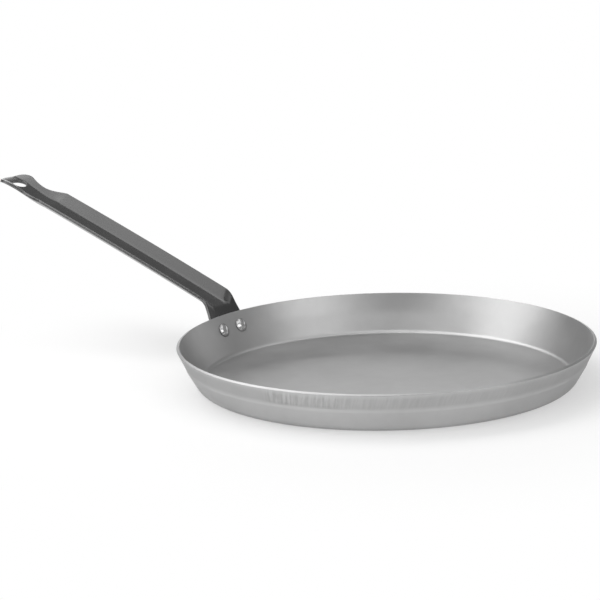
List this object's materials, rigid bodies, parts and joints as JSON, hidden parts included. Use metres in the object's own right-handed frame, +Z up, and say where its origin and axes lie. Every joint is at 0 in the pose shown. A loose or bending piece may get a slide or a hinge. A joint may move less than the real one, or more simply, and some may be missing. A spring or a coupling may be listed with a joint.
{
  "type": "crepe pan",
  "caption": "Shallow round pan with a low flared wall for crepes and pancakes, and a riveted trough-shaped strip handle that rises to a hanging eye.",
  "frame": {"origin": "centre of the base's underside, on the surface that the pan stands on", "axes": "+X along the handle, away from the pan; +Z up, square to the base; +Y across the handle, so that the frame is right-handed"},
  "size_m": [0.4168, 0.2398, 0.0901],
  "materials": {
    "bare_steel": "satin, uncoated",
    "dark_paint": "smooth dark grey epoxy paint, semi-gloss",
    "rivet_steel": "bright"
  },
  "bodies": {
    "root": {"pan_body": "bare_steel", "handle": "dark_paint", "rivet_left": "rivet_steel", "rivet_right": "rivet_steel"}
  },
  "joints": []
}
